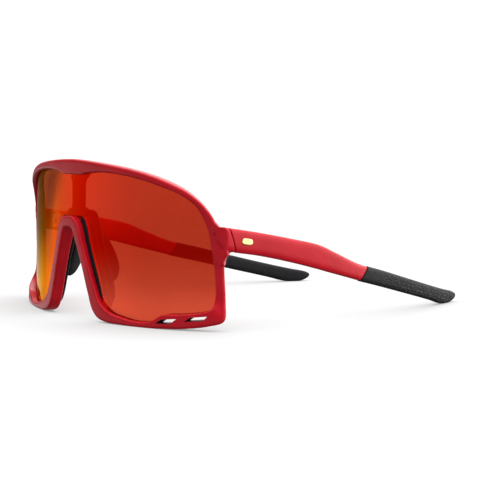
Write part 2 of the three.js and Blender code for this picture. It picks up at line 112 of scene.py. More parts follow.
LAST_STATION = len(RIM) - 1
HIGH_SIDE_STATION = 10.4
LOW_SIDE_STATION = 10.8

# stations between which something begins or ends along the nose arch
LIP_SPACE = 2.9
LIP_OPENS = (20.4, 24.5)
LIP_CLOSES = (26.1, 27)
LENS_LEAVES_RIM = (20.4, 21.6)
CARRIER_START = 21.1
CARRIER_RISES = (21.2, 22.4)
CARRIER_FALLS = (26.3, 27)
FOOT_REACH = 3.4

VENT_SLOTS = [
    [(50.5, 3.9), (48, 2.2), (54.3, 2.6), (56.7, 4.5)],
    [(62.2, 5.3), (59.9, 3.7), (67.3, 4.5), (68.8, 6.1)],
]

# Temple rungs from the hinge to the end of the tip: (y, z) on top, (y, z, thickness) below.
TEMPLE = [
    ((26.1, 38.6), (28.9, 29.2, 3.6)),
    ((40, 36.2), (40.5, 27.3, 3.6)),
    ((56, 33), (55, 24.1, 3.4)),
    ((69, 30), (67, 21, 3.2)),
    ((78, 26.3), (75, 18.8, 3.2)),
    ((88, 22.1), (84, 16.4, 3.3)),
    ((94.6, 20), (90.3, 14.7, 3.4)),
    ((104, 17.6), (101, 12.1, 3.6)),
    ((122, 12.7), (120, 7.3, 3.8)),
    ((140, 8), (138, 2.75, 3.8)),
    ((149.5, 5.7), (147.5, 0.25, 3.6)),
    ((155.5, 4.4), (153.5, 0.2, 3.2)),
    ((158.5, 3.1), (158, 1.8, 1.8)),
]
LAST_RUNG = len(TEMPLE) - 1
TEMPLE_X = 71
TEMPLE_BEND_Y = 60
TEMPLE_BEND = 0.0021
TIP_RUNG = 6
TIP_STEP = 0.25
LUG_RUNG = -0.45

LUG_FACE = 1.7
HINGE_HEIGHTS = (30.4, 36)
ANCHOR_X = 64
ANCHOR_RADIUS = 1
ANCHOR_HEIGHTS = (31.6, 34.8)
ANCHOR_DEPTHS = (24.5, 28)
SCREW_PLACE = (0, 59.3)
SCREW_HOLE_RADIUS = 0.8
SEAT_OUTLINE = [(62.2, 22.9), (66.4, 24), (68.4, 24), (68.4, 25.4), (67, 25.8), (67, 27), (62.2, 27)]
INLAY_PLACE = (33.6, 33.1)
INLAY_SLOPE = math.radians(-9)
INLAY_LENGTH = 5
INLAY_HEIGHT = 2.4
INLAY_X = (70.7, 71.3)

PAD_PLACE = (11.1, 4.8, 23.3)
PAD_LEAN = math.radians(22)
PAD_FLARE = math.radians(20)
PAD_THICKNESS = 3.4
PAD_OUTLINE = [
    (2, -6), (1.3, 4), (2.4, 9), (4.4, 9.8), (6.4, 6), (8.3, 0), (8.6, -4), (7, -8), (4.6, -9.2),
    (2.7, -8.4),
]

# --- curves -----------------------------------------------------------------------------------------


def spline(points, closed=False):
    """A centripetal Catmull-Rom curve: returns at(t), where t counts control points."""
    places = [np.array(p, float) for p in points]
    count = len(places)

    def neighbour(i):
        if closed:
            return places[i % count]
        if i < 0:
            return 2 * places[0] - places[1]
        if i >= count:
            return 2 * places[-1] - places[-2]
        return places[i]

    def at(t):
        spans = count if closed else count - 1
        i = min(int(t), spans - 1)
        part = t - i
        p0, p1, p2, p3 = (neighbour(i + k) for k in (-1, 0, 1, 2))
        d0, d1, d2 = (math.sqrt(np.linalg.norm(b - a)) for a, b in ((p0, p1), (p1, p2), (p2, p3)))
        m1 = ((p1 - p0) / d0 - (p2 - p0) / (d0 + d1) + (p2 - p1) / d1) * d1
        m2 = ((p2 - p1) / d1 - (p3 - p1) / (d1 + d2) + (p3 - p2) / d2) * d1
        square, cube = part**2, part**3
        return (
            p1 * (2 * cube - 3 * square + 1)
            + m1 * (cube - 2 * square + part)
            + p2 * (3 * square - 2 * cube)
            + m2 * (cube - square)
        )

    return at


lens_edge = spline([lens for lens, _ in RIM])
outer_edge = spline([outside for _, outside in RIM])
top_line = spline([top for top, _ in TEMPLE])
bottom_line = spline([bottom for _, bottom in TEMPLE])


def on_front(u, v, w):
    radius = WRAP_RADIUS + w
    angle = u / WRAP_RADIUS
    depth = WRAP_RADIUS - radius * math.cos(angle)
    return (
        radius * math.sin(angle),
        depth * math.cos(FACE_TILT) + v * math.sin(FACE_TILT),
        v * math.cos(FACE_TILT) - depth * math.sin(FACE_TILT),
    )


def front_coordinates(point):
    """The (u, v, w) of a point given as (x, y, z)."""
    x, y, z = point
    depth = y * math.cos(FACE_TILT) - z * math.sin(FACE_TILT)
    v = y * math.sin(FACE_TILT) + z * math.cos(FACE_TILT)
    angle = math.atan2(x, WRAP_RADIUS - depth)
    return angle * WRAP_RADIUS, v, math.hypot(x, WRAP_RADIUS - depth) - WRAP_RADIUS


def to_row(points):
    """Face millimetres to metres in the row frame."""
    return (np.array(points, float) + (0, FACE_Y, 0)) * MM


def smooth_step(value, low, high):
    part = min(1, max(0, (value - low) / (high - low)))
    return part * part * (3 - 2 * part)


def rim_at(station):
    """(edge, width, front) at a station: edge(s) is a (u, v) across the rim from the lens opening."""
    inner = lens_edge(station)
    outer = outer_edge(station)
    across = outer[:2] - inner
    width = np.linalg.norm(across)

    def edge(s):
        return inner + across * (s / width)

    return edge, width, outer[2]


# --- meshes -----------------------------------------------------------------------------------------


def mesh_object(name, points, faces, smooth=True):
    mesh = bpy.data.meshes.new(name)
    mesh.from_pydata([tuple(p) for p in points], [], faces)
    mesh.validate()
    if smooth:
        mesh.shade_smooth()
    made = bpy.data.objects.new(name, mesh)
    bpy.context.scene.collection.objects.link(made)
    return made


def grid_faces(rows, columns, wrap_rows, wrap_columns, start=0):
    faces = []
    for i in range(rows if wrap_rows else rows - 1):
        for j in range(columns if wrap_columns else columns - 1):
            a, b = i * columns, (i + 1) % rows * columns
            k = (j + 1) % columns
            faces.append((start + a + j, start + a + k, start + b + k, start + b + j))
    return faces


def swept(name, sections, closed=False):
    """A tube through a list of equal closed sections, capped at both ends unless it is closed."""
    rows, columns = len(sections), len(sections[0])
    points = [p for section in sections for p in section]
    faces = grid_faces(rows, columns, closed, True)
    if not closed:
        faces.append(tuple(range(columns))[::-1])
        faces.append(tuple(range((rows - 1) * columns, rows * columns)))
    return mesh_object(name, to_row(points), faces)


def outward(obj):
    """Turns the faces of a closed mesh to point out."""
    mesh = bmesh.new()
    mesh.from_mesh(obj.data)
    bmesh.ops.recalc_face_normals(mesh, faces=mesh.faces)
    mesh.to_mesh(obj.data)
    mesh.free()
    return obj


def settled(obj):
    """Applies every modifier of an object."""
    depsgraph = bpy.context.evaluated_depsgraph_get()
    mesh = bpy.data.meshes.new_from_object(obj.evaluated_get(depsgraph))
    obj.modifiers.clear()
    obj.data = mesh
    return obj


def cut_away(obj, cutter):
    """Takes the cutter's volume out of an object, then removes the cutter."""
    modifier = obj.modifiers.new("cut", "BOOLEAN")
    modifier.object = cutter
    modifier.operation = "DIFFERENCE"
    modifier.solver = "EXACT"
    modifier.material_mode = "TRANSFER"
    settled(obj)
    bpy.data.objects.remove(cutter)
    return obj


def joined(name, objects):
    """Several objects as one mesh, keeping their shells."""
    points, faces = [], []
    for part in objects:
        start = len(points)
        points += [tuple(v.co) for v in part.data.vertices]
        faces += [tuple(start + i for i in p.vertices) for p in part.data.polygons]
        bpy.data.objects.remove(part)
    return mesh_object(name, points, faces)


def melted(obj, voxel, rounds):
    """Runs overlapping shells into one skin with soft inner and outer corners."""
    remesh = obj.modifiers.new("melt", "REMESH")
    remesh.mode = "VOXEL"
    remesh.voxel_size = voxel * MM
    smooth = obj.modifiers.new("soften", "SMOOTH")
    smooth.factor = 0.5
    smooth.iterations = rounds
    settled(obj)
    obj.data.shade_smooth()
    return obj


def mirror_of(obj, name):
    points = [(-v.co.x, v.co.y, v.co.z) for v in obj.data.vertices]
    faces = [tuple(p.vertices)[::-1] for p in obj.data.polygons]
    other = mesh_object(name, points, faces)
    for material in obj.data.materials:
        other.data.materials.append(material)
    return other


def arc(centre, radius, start, end, steps):
    angles = np.radians(np.linspace(start, end, steps))
    return [(centre[0] + radius * math.cos(a), centre[1] + radius * math.sin(a)) for a in angles]


def circle(centre, radius, count):
    angles = np.linspace(0, 2 * math.pi, count, False)
    return [(centre[0] + radius * math.cos(a), centre[1] + radius * math.sin(a)) for a in angles]


def flat_prism(name, corners, low, high, place):
    """A prism over the corners, from low to high, with every point put through place(a, b, c)."""
    count = len(corners)
    points = [place(a, b, c) for c in (low, high) for a, b in corners]
    faces = grid_faces(2, count, False, True)
    faces += [tuple(range(count))[::-1], tuple(range(count, 2 * count))]
    return outward(mesh_object(name, to_row(points), faces, smooth=False))


def pillow(name, outline, thickness, place, fullness, rings=14):
    """A rounded plate: rings shrink towards the middle of the outline, on both faces."""
    outline = np.array(outline)
    middle = outline.mean(0)
    rows = []
    for k in range(1, 2 * rings):
        turn = math.pi * k / (2 * rings)
        radius = math.sin(turn) ** (2 / fullness)
        height = math.copysign(abs(math.cos(turn)) ** (2 / fullness), math.cos(turn)) * thickness / 2
        rows.append([place(*(middle + (p - middle) * radius), height) for p in outline])
    return outward(swept(name, rows))


# --- materials --------------------------------------------------------------------------------------


def node_adder(tree):
    """Returns add(kind, inputs, **settings), which adds a node and sets or links its inputs."""

    def add(kind, inputs=None, **settings):
        node = tree.nodes.new("ShaderNode" + kind)
        for key, value in settings.items():
            setattr(node, key, value)
        for key, value in (inputs or {}).items():
            if isinstance(value, bpy.types.NodeSocket):
                tree.links.new(value, node.inputs[key])
            else:
                node.inputs[key].default_value = value
        return node

    return add


def shader(name, slot_name):
    """A material for a slot: (material, its Principled shader, object coordinates, node adder)."""
    material = bpy.data.materials.new(name)
    material.use_nodes = True
    tree = material.node_tree
    principled = tree.nodes["Principled BSDF"]
    place = tree.nodes.new("ShaderNodeTexCoord").outputs["Object"]
    material["slot"] = slot_name
    return material, principled, place, node_adder(tree)


def noise(add, place, scale, detail=2, roughness=0.5):
    return add(
        "TexNoise", {"Vector": place, "Scale": scale, "Detail": detail, "Roughness": roughness}
    ).outputs["Fac"]


def set_stops(node, stops):
    """Gives a colour ramp its stops: (position, (r, g, b)), or (position, grey)."""
    elements = node.color_ramp.elements
    elements.remove(elements[-1])
    for position, value in stops:
        colour = value if isinstance(value, tuple) else (value, value, value)
        element = elements.new(position) if position > 0 else elements[0]
        element.color = (*colour, 1)
    elements[0].color = elements[1].color if stops[0][0] > 0 else elements[0].color


def ramp(add, factor, stops):
    node = add("ValToRGB", {"Fac": factor})
    set_stops(node, stops)
    return node.outputs["Color"]


def connect(material, principled, **links):
    for key, socket in links.items():
        material.node_tree.links.new(socket, principled.inputs[key.replace("_", " ")])


def bumped(add, height, strength, distance, normal=None):
    inputs = {"Height": height, "Strength": strength, "Distance": distance}
    if normal:
        inputs["Normal"] = normal
    return add("Bump", inputs).outputs["Normal"]


PLASTIC_GLOSS = 0.2
RUBBER_GLOSS = 0.17


def satin_plastic(name, slot_name, tones, rough=(0.3, 0.42), grain=0.12):
    """Moulded plastic: soft flow patches in the colour, a fine spark-eroded grain and a faint ripple."""
    material, principled, place, add = shader(name, slot_name)
    patches = noise(add, place, 90, 3)
    grains = noise(add, place, 5200, 2)
    ripple = noise(add, place, 420, 1)
    colour = ramp(add, patches, [(0.3, tones[0]), (0.55, tones[1]), (0.75, tones[2])])
    roughness = ramp(add, grains, [(0.25, rough[0]), (0.75, rough[1])])
    normal = bumped(add, ripple, 0.1, 0.0001)
    normal = bumped(add, grains, grain, 0.00004, normal)
    connect(material, principled, Base_Color=colour, Roughness=roughness, Normal=normal)
    principled.inputs["Specular IOR Level"].default_value = PLASTIC_GLOSS
    return material


def stippled_rubber(name, slot_name):
    """Matt black rubber with a fine dull grain."""
    material, principled, place, add = shader(name, slot_name)
    grains = noise(add, place, 4200, 3)
    mottle = noise(add, place, 900, 4)
    colour = ramp(add, mottle, [(0.3, (0.006, 0.006, 0.007)), (0.7, (0.013, 0.013, 0.015))])
    roughness = ramp(add, grains, [(0.2, 0.5), (0.8, 0.72)])
    normal = bumped(add, grains, 0.3, 0.00005)
    connect(material, principled, Base_Color=colour, Roughness=roughness, Normal=normal)
    principled.inputs["Specular IOR Level"].default_value = RUBBER_GLOSS
    return material


def worn_metal(name, slot_name, tones, rough, brush):
    """Turned or stamped metal: tone patches, and fine brushing along one axis."""
    material, principled, place, add = shader(name, slot_name)
    stretched = add("Mapping", {"Vector": place, "Scale": brush}).outputs["Vector"]
    lines = noise(add, stretched, 900, 3)
    patches = noise(add, place, 500, 2)
    colour = ramp(add, patches, [(0.3, tones[0]), (0.7, tones[1])])
    roughness = ramp(add, lines, [(0.3, rough[0]), (0.7, rough[1])])
    normal = bumped(add, lines, 0.2, 0.00003)
    connect(material, principled, Base_Color=colour, Roughness=roughness, Normal=normal)
    principled.inputs["Metallic"].default_value = 1
    return material


def mirror_lens(name, slot_name):
    """Tinted polycarbonate with a mirror film: red square on, gold edge on, and warmer low down."""
    material, principled, place, add = shader(name, slot_name)
    facing = add("LayerWeight", {"Blend": 0.5}).outputs["Facing"]
    film = ramp(add, facing, [
        (0.0, (0.66, 0.004, 0.001)),
        (0.41, (0.7, 0.005, 0.001)),
        (0.47, (0.74, 0.01, 0.001)),
        (0.53, (0.77, 0.03, 0.003)),
        (0.58, (0.8, 0.06, 0.006)),
        (0.64, (0.82, 0.11, 0.012)),
        (0.7, (0.82, 0.165, 0.015)),
        (0.74, (0.8, 0.26, 0.025)),
        (0.79, (0.78, 0.42, 0.07)),
        (0.85, (0.78, 0.55, 0.14)),
        (0.95, (0.78, 0.6, 0.2)),
    ])
    height = add("SeparateXYZ", {0: place}).outputs[2]
    low = add("MapRange", {0: height, 1: 0.03, 2: 0.006}, interpolation_type="SMOOTHSTEP").outputs[0]
    warmer = add("Mix", {6: film, 7: (0.02, 0.075, 0.04, 1)}, data_type="RGBA", blend_type="ADD")
    material.node_tree.links.new(low, warmer.inputs[0])
    film = warmer.outputs[2]
    haze = noise(add, place, 700, 3)
    roughness = ramp(add, haze, [(0.3, 0.035), (0.7, 0.06)])
    normal = bumped(add, noise(add, place, 60, 1), 0.05, 0.0002)
    connect(material, principled, Base_Color=film, Roughness=roughness, Normal=normal)
    principled.inputs["Metallic"].default_value = 1
    principled.inputs["Specular Tint"].default_value = (0.9, 0.6, 0.25, 1)
    tint = ramp(add, noise(add, place, 40, 1), [(0.3, (0.8, 0.34, 0.215)), (0.7, (0.83, 0.36, 0.23))])
    through = add("BsdfTransparent", {"Color": tint}).outputs[0]
    mix = add("MixShader", {0: 0.5, 1: through, 2: principled.outputs[0]})
    output = material.node_tree.nodes["Material Output"]
    material.node_tree.links.new(mix.outputs[0], output.inputs["Surface"])
    return material


red_plastic = satin_plastic(
    "satin_red_plastic", "red_plastic", [(0.41, 0.002, 0.009), (0.47, 0.003, 0.012), (0.52, 0.005, 0.015)]
)
black_plastic = satin_plastic(
    "black_plastic", "black_plastic",
    [(0.004, 0.004, 0.005), (0.006, 0.006, 0.007), (0.009, 0.009, 0.01)], rough=(0.4, 0.55), grain=0.2,
)
rubber = stippled_rubber("stippled_rubber", "rubber")
gold_metal = worn_metal(
    "gold_metal", "gold_trim", [(0.76, 0.5, 0.2), (0.88, 0.64, 0.32)], (0.2, 0.34), (1, 0.05, 1)
)
steel = worn_metal("steel", "steel", [(0.36, 0.37, 0.4), (0.5, 0.51, 0.54)], (0.25, 0.42), (1, 1, 0.08))
lens_material = mirror_lens("mirror_lens", "lens")


def dressed(obj, material, body, *nodes):
    """Gives a finished piece its material, body and the CAD nodes it stands for."""
    if obj.data.materials:
        obj.data.materials[0] = material
    else:
        obj.data.materials.append(material)
    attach(obj, body)
    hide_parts(*nodes)
    return obj


def dressed_pair(obj, material, node):
    """Dresses a left-hand piece, and its mirror image for the right."""
    bodies = frame["record"]["behaviour"]["bodies"]
    for side, piece in (("left", obj), ("right", mirror_of(obj, obj.name.replace("left", "right")))):
        name = f"{node}_{side}"
        body = next(body for body, names in bodies.items() if name in names)
        dressed(piece, material, body, name)


# --- front frame ------------------------------------------------------------------------------------

RING_STEPS = 9
SIDE_DRAFT_RANGE = (50, 74)


def ring_section(width, front, draft):
    """Rounded outline (s, w) of the rim, from the lens-side front edge round to the lens side."""
    back = width - draft
    return (
        arc((0.5, front - 0.5), 0.5, 180, 90, 5)
        + arc((width - 0.9, front - 0.9), 0.9, 90, 0, 8)
        + arc((back - 0.7, RIM_BACK + 0.7), 0.7, 0, -90, 6)
        + arc((0.6, RIM_BACK + 0.6), 0.6, -90, -180, 5)
    )


def rim_turn(station, side):
    rim, width, front = rim_at(station)
    draft = SIDE_DRAFT * smooth_step(rim(width)[0], *SIDE_DRAFT_RANGE)
    points = []
    for s, w in ring_section(width, front, draft):
        u, v = rim(s)
        points.append(on_front(side * u, v, w))
    return points


def rim_ring():
    stations = np.linspace(0, LAST_STATION, LAST_STATION * RING_STEPS + 1)
    turns = [rim_turn(s, 1) for s in stations] + [rim_turn(s, -1) for s in stations[-2:0:-1]]
    return outward(swept("ring", turns, closed=True))


def temple_place(rung, x, z, grow=0):
    """A place on the temple's section: x across and z up, both from -1 to 1."""
    high, low = line_at(top_line, rung), line_at(bottom_line, rung)
    upright = high[:2] - low[:2]
    half_height = np.linalg.norm(upright) / 2
    up = z * (1 + grow / half_height) / 2
    middle = (high[:2] + low[:2]) / 2
    y, height = middle + upright * up
    face = TEMPLE_X - TEMPLE_BEND * max(0, y - TEMPLE_BEND_Y) ** 2
    return face - low[2] / 2 + x * (low[2] / 2 + grow), y, height


def line_at(line, rung):
    """Ahead of the first rung the line runs straight on."""
    start = line(0)
    return line(rung) if rung >= 0 else start + (line(0.25) - start) * 4 * rung


def superellipse(count, power=3):
    points = []
    for k in range(count):
        turn = 2 * math.pi * k / count
        c, s = math.cos(turn), math.sin(turn)
        radius = (abs(c) ** power + abs(s) ** power) ** (-1 / power)
        points.append((c * radius, s * radius))
    return points


SECTION = superellipse(44)


def lug():
    """The end piece that carries the temple."""
    rows = []
    for rung in np.linspace(LUG_RUNG, -0.022, 16):
        rows.append([kept_behind_face(temple_place(rung, x, z)) for x, z in SECTION])
    return outward(swept("lug", rows))


def kept_behind_face(point):
    u, v, w = front_coordinates(point)
    return on_front(u, v, min(w, LUG_FACE))


def hollow_corners():
    """Fillets that run the rim's outside into the top and the bottom of the lug."""
    top = [(70, 37), (75.5, 37)] + arc((75.4, 42.75), 4.6, -90, -150, 9) + [(70, 41.4)]
    bottom = [(73, 30.6), (73, 25.2), (74.45, 25.2)] + arc((78.4, 26), 3.95, 188, 128, 9) + [(75.7, 30.6)]
    return [across_front(top, -0.6, 1.6, "top_fillet"), across_front(bottom, -1.6, 1.6, "bottom_fillet")]


def lip_space(station):
    """How far the lens stops short of the arch: widest round the arch's corners, closing downwards."""
    return LIP_SPACE * smooth_step(station, *LIP_OPENS) * (1 - smooth_step(station, *LIP_CLOSES))


def lens_point(x, y, w, insertion):
    """x runs from -1 to 1 across the lens and y from 0 at its lower edge to 1 at the brow."""
    out = abs(x)
    low_station = LAST_STATION + (LOW_SIDE_STATION - LAST_STATION) * out
    high = rim_at(out * HIGH_SIDE_STATION)[0](insertion)
    arch = smooth_step(low_station, *LENS_LEAVES_RIM)
    low = rim_at(low_station)[0](insertion * (1 - arch) - lip_space(low_station))
    u, v = low + (high - low) * y
    return on_front(math.copysign(u, x), v, w)


def lens_slab(name, insertion, back, front, columns, rows):
    heights = np.linspace(0, 1, rows + 1)
    sections = []
    for x in np.linspace(-1, 1, columns + 1):
        front_side = [lens_point(x, y, front, insertion) for y in heights]
        back_side = [lens_point(x, y, back, insertion) for y in heights]
        sections.append(front_side + back_side[::-1])
    return outward(swept(name, sections))


def across_front(corners, low, high, name="prism"):
    return flat_prism(name, corners, low, high, on_front)


def hinge_seat():
    seat = flat_prism("seat", SEAT_OUTLINE, *HINGE_HEIGHTS, lambda a, b, c: (a, b, c))
    for height in ANCHOR_HEIGHTS:
        hole = circle((ANCHOR_X, height), ANCHOR_RADIUS, 20)
        cut_away(seat, flat_prism("hole", hole, *ANCHOR_DEPTHS, lambda x, z, y: (x, y, z)))
    return seat


def front_frame():
    left = [lug(), hinge_seat()] + hollow_corners()
    right = [mirror_of(part, part.name + "_right") for part in left]
    frame_piece = melted(
        joined("front_frame_shell", [rim_ring()] + left + right), voxel=0.36, rounds=6
    )
    for vertex in frame_piece.data.vertices:
        vertex.co.z = max(vertex.co.z, 0)
        vertex.co.x = max(cad_box[0][0], min(cad_box[1][0], vertex.co.x))
    return carved(frame_piece)


def carved(frame_piece):
    """Cuts the lens pocket, then the vents and the screw hole. Their walls take black plastic as painted shade:
    the frame is red all through, and the black stands for the shade deep in these narrow holes.
    """
    frame_piece.data.materials.append(red_plastic)
    cut_away(frame_piece, lens_slab("pocket", LENS_INSERTION, -LENS_THICKNESS - 0.02, 0.36, 160, 8))
    cutters = []
    for slot in VENT_SLOTS:
        for side in (1, -1):
            cutters.append(across_front([(side * u, v) for u, v in slot], -8, 8, "slot"))
    cutters.append(across_front(circle(SCREW_PLACE, SCREW_HOLE_RADIUS, 24), -5.4, -0.6, "hole"))
    cutter = joined("cutters", cutters)
    # Painted shade: the cutter's black plastic goes onto the vent and screw-hole walls of the red frame.
    cutter.data.materials.append(black_plastic)
    cut_away(frame_piece, cutter)
    frame_piece.data.set_sharp_from_angle(angle=math.radians(50))
    return frame_piece


dressed(front_frame(), red_plastic, "front", "front_frame")

# --- lens -------------------------------------------------------------------------------------------


def shield_lens():
    lens = lens_slab("lens", LENS_INSERTION - 0.2, -LENS_THICKNESS, 0, 240, 26)
    lens.data.set_sharp_from_angle(angle=math.radians(40))
    return lens


dressed(shield_lens(), lens_material, "front", "shield_lens")

# --- nose carrier and pads --------------------------------------------------------------------------


def carrier_section(station):
    """Outline (s, w): a lip between the arch and the lens, on a foot that reaches under the lens."""
    lip = -max(lip_space(station) - 0.1, 0.1)
    raised = smooth_step(station, *CARRIER_RISES) * (1 - smooth_step(station, *CARRIER_FALLS))
    top = 0.05 - 3 * (1 - raised)
    under = lip - FOOT_REACH
    return [
        (under, -4.3), (under + 0.3, -4.6), (2.6, -4.6), (3, -4.2), (3, -3.6), (2.6, -3.2), (-0.05, -3.2),
        (-0.05, top - 0.15), (-0.1, top), (lip + 0.15, top), (lip, top - 0.15), (lip, -3.2),
        (under + 0.3, -3.2), (under, -3.5),
    ]


def carrier_arch():
    rows = []
    stations = np.linspace(CARRIER_START, LAST_STATION, 90)
    for side, station in [(-1, s) for s in stations] + [(1, s) for s in stations[-2::-1]]:
        rim = rim_at(station)[0]
        outline = [(rim(s), w) for s, w in carrier_section(station)]
        rows.append([on_front(side * u, v, w) for (u, v), w in outline])
    return outward(swept("arch", rows))


def pad_place(back, up, out):
    """A place in the pad's own plane, turned and moved to where the pad is."""
    x, y, z = out, back, up
    c, s = math.cos(-PAD_LEAN), math.sin(-PAD_LEAN)
    x, z = x * c + z * s, z * c - x * s
    c, s = math.cos(-PAD_FLARE), math.sin(-PAD_FLARE)
    x, y = x * c - y * s, x * s + y * c
    return x + PAD_PLACE[0], y + PAD_PLACE[1], z + PAD_PLACE[2]


def pad_tab():
    corners = [(-0.6, -8), (3, -8.6), (5.6, -6), (5.6, 4), (2.4, 10), (-0.6, 13)]
    return flat_prism("tab", corners, -0.6, 0.6, pad_place)


def post():
    """The strip that hangs the arch from the brow. It is close behind the lens and widens at the top."""
    rows = []
    for v in np.linspace(38, 60.6, 60):
        flared = max(0, min(1, (v - 51.6) / 3.6))
        half = 4.5 + 1.9 * (1 - math.sqrt(1 - min(flared, 0.999) ** 2))
        forward = 1.25 * smooth_step(v, 38.5, 41.5) * (1 - smooth_step(v, 54.8, 57.2))
        back, front = CARRIER_W[0] + forward, CARRIER_W[1] + forward
        section = [
            (-half, back + 0.3), (-half + 0.3, back), (half - 0.3, back), (half, back + 0.3),
            (half, front - 0.3), (half - 0.3, front), (-half + 0.3, front), (-half, front - 0.3),
        ]
        rows.append([on_front(u, v, w) for u, w in section])
    plate = outward(swept("post", rows))
    hole = circle(SCREW_PLACE, SCREW_HOLE_RADIUS, 24)
    return cut_away(plate, across_front(hole, -6, -2, "hole"))


def nose_carrier():
    tab = pad_tab()
    shells = [carrier_arch(), post(), tab, mirror_of(tab, "tab_right")]
    return melted(joined("nose_carrier_shell", shells), voxel=0.24, rounds=4)


def nose_pad():
    curve = spline(PAD_OUTLINE, closed=True)
    outline = [curve(t) for t in np.linspace(0, len(PAD_OUTLINE), 72, False)]
    return pillow("nose_pad_left_soft", outline, PAD_THICKNESS, pad_place, 3.2)


dressed(nose_carrier(), black_plastic, "front", "nose_carrier")
dressed_pair(nose_pad(), rubber, "nose_pad")

# --- temples ----------------------------------------------------------------------------------------


def bar_rows(from_rung, to_rung, steps, ends, grow=0, section=SECTION):
    """Sections of a temple bar. ends are (setback in rungs, shrink in mm) for its rounded ends."""
    rungs = np.linspace(from_rung, to_rung, steps)
    first, last = ends
    stops = [(from_rung + back, -shrink) for back, shrink in first]
    inner = [(r, 0) for r in rungs if from_rung + first[-1][0] < r < to_rung - last[-1][0]]
    stops += inner + [(to_rung - back, -shrink) for back, shrink in last[::-1]]
    return [[temple_place(r, x, z, grow + less) for x, z in section] for r, less in stops]


SOFT_END = [(0, 0.3), (0.006, 0.12), (0.016, 0.03), (0.03, 0)]


def temple():
    bar = outward(swept("temple_left_arm", bar_rows(0, TIP_RUNG, 110, (SOFT_END, SOFT_END))))
    cut_away(bar, flat_prism("pocket", pill(0.1), INLAY_X[0] - 0.1, 72, pill_place))
    bar.data.set_sharp_from_angle(angle=math.radians(50))
    return bar


def pill(grow):
    radius = INLAY_HEIGHT / 2 + grow
    half = (INLAY_LENGTH - INLAY_HEIGHT) / 2
    return arc((half, 0), radius, -90, 90, 24) + arc((-half, 0), radius, 90, 270, 24)


def pill_place(along, up, x):
    y, z = INLAY_PLACE
    c, s = math.cos(INLAY_SLOPE), math.sin(INLAY_SLOPE)
    return x, y + along * c - up * s, z + along * s + up * c


def inlay():
    """A domed pill."""
    middle_x = sum(INLAY_X) / 2
    thickness = INLAY_X[1] - INLAY_X[0]
    return pillow(
        "temple_inlay_left_badge", pill(0), thickness, lambda a, b, c: pill_place(a, b, middle_x + c), 4
    )


PEBBLE = 1.15
PEBBLE_RELIEF = 0.22
PEBBLES_FROM = 98
PEBBLES_TO = 157
TIP_SECTION = superellipse(120)


def scatter(i, j, seed):
    """A repeatable number from 0 to 1 for each cell."""
    value = np.sin(i * 12.9898 + j * 78.233 + seed * 37.719) * 43758.5453
    return value - np.floor(value)


def pebble_height(s, t):
    """Height from 0 to 1 of a pebbled surface at s, t (mm): low domes of many sizes, well apart."""
    i, j = np.floor(s / PEBBLE), np.floor(t / PEBBLE)
    height = np.zeros(s.shape)
    for di in (-1, 0, 1):
        for dj in (-1, 0, 1):
            centre_s = (i + di + 0.2 + 0.6 * scatter(i + di, j + dj, 1)) * PEBBLE
            centre_t = (j + dj + 0.2 + 0.6 * scatter(i + di, j + dj, 2)) * PEBBLE
            radius = (0.4 + 0.2 * scatter(i + di, j + dj, 3)) * PEBBLE
            away = np.hypot(s - centre_s, t - centre_t) / radius
            height = np.maximum(height, np.sqrt(np.clip(1 - away**2, 0, 1)))
    return height


def temple_tip():
    """The rubber sleeve: a rolled edge at its mouth, a rounded end and pebbles towards the back."""
    mouth = [(0, 0.35), (0.008, 0.14), (0.02, 0.03), (0.035, 0)]
    end = [(0, 0.72), (0.04, 0.45), (0.1, 0.25), (0.2, 0.1), (0.35, 0)]
    rows = np.array(bar_rows(TIP_RUNG + 0.03, LAST_RUNG, 400, (mouth, end), TIP_STEP - 0.02, TIP_SECTION))
    along = rows.mean(1)[:, 1]
    girth = np.linalg.norm(rows - np.roll(rows, 1, 1), axis=2).cumsum(1)
    fade = np.clip((along - PEBBLES_FROM) / 14, 0, 1) * np.clip((PEBBLES_TO - along) / 4, 0, 1)
    outer = np.clip(np.array(TIP_SECTION)[:, 0] * 2, 0, 1)
    relief = pebble_height(along[:, None] + 0 * girth, girth + 0 * along[:, None]) - 1
    away = rows - rows.mean(1, keepdims=True)
    away /= np.linalg.norm(away, axis=2, keepdims=True)
    rows = rows + away * (PEBBLE_RELIEF * relief * fade[:, None] * outer)[:, :, None]
    tip = outward(swept("temple_tip_left_sleeve", rows.tolist()))
    for vertex in tip.data.vertices:
        vertex.co.z = max(vertex.co.z, 0)
    return tip


dressed_pair(temple(), red_plastic, "temple")
dressed_pair(inlay(), gold_metal, "temple_inlay")
dressed_pair(temple_tip(), rubber, "temple_tip")

# --- hinges and screws, kept from the CAD model -----------------------------------------------------

for node_name, node in frame["nodes"].items():
    if "hinge" in node_name or "screw" in node_name:
        node.data.materials.clear()
        node.data.materials.append(steel)
        bevel = node.modifiers.new("soft_edges", "BEVEL")
        bevel.width = 0.08 * MM
        bevel.segments = 2
        bevel.limit_method = "ANGLE"
        bevel.angle_limit = math.radians(30)

# --- floor, light and camera ------------------------------------------------------------------------

bpy.context.scene.view_settings.view_transform = "Standard"


def plain_material(name, colour, glow):
    """A plain sheet: what it throws back of the light, and a glow of its own."""
    material = bpy.data.materials.new(name)
    material.use_nodes = True
    principled = material.node_tree.nodes["Principled BSDF"]
    principled.inputs["Base Color"].default_value = (*colour, 1)
    principled.inputs["Roughness"].default_value = 0.7
    principled.inputs["Specular IOR Level"].default_value = 0
    principled.inputs["Emission Color"].default_value = (1, 1, 1, 1)
    principled.inputs["Emission Strength"].default_value = glow
    return material


def painted_contact_shadow(material, reach, stops):
    """Painted contact shadow: the sheet's glow fades to a neutral grey where something stands close over it, by
    ambient occlusion rather than by blocked light.
    """
    tree = material.node_tree
    add = node_adder(tree)
    open_air = add("AmbientOcclusion", {"Distance": reach}).outputs["AO"]
    glow = ramp(add, open_air, stops)
    tree.links.new(glow, tree.nodes["Principled BSDF"].inputs["Emission Color"])


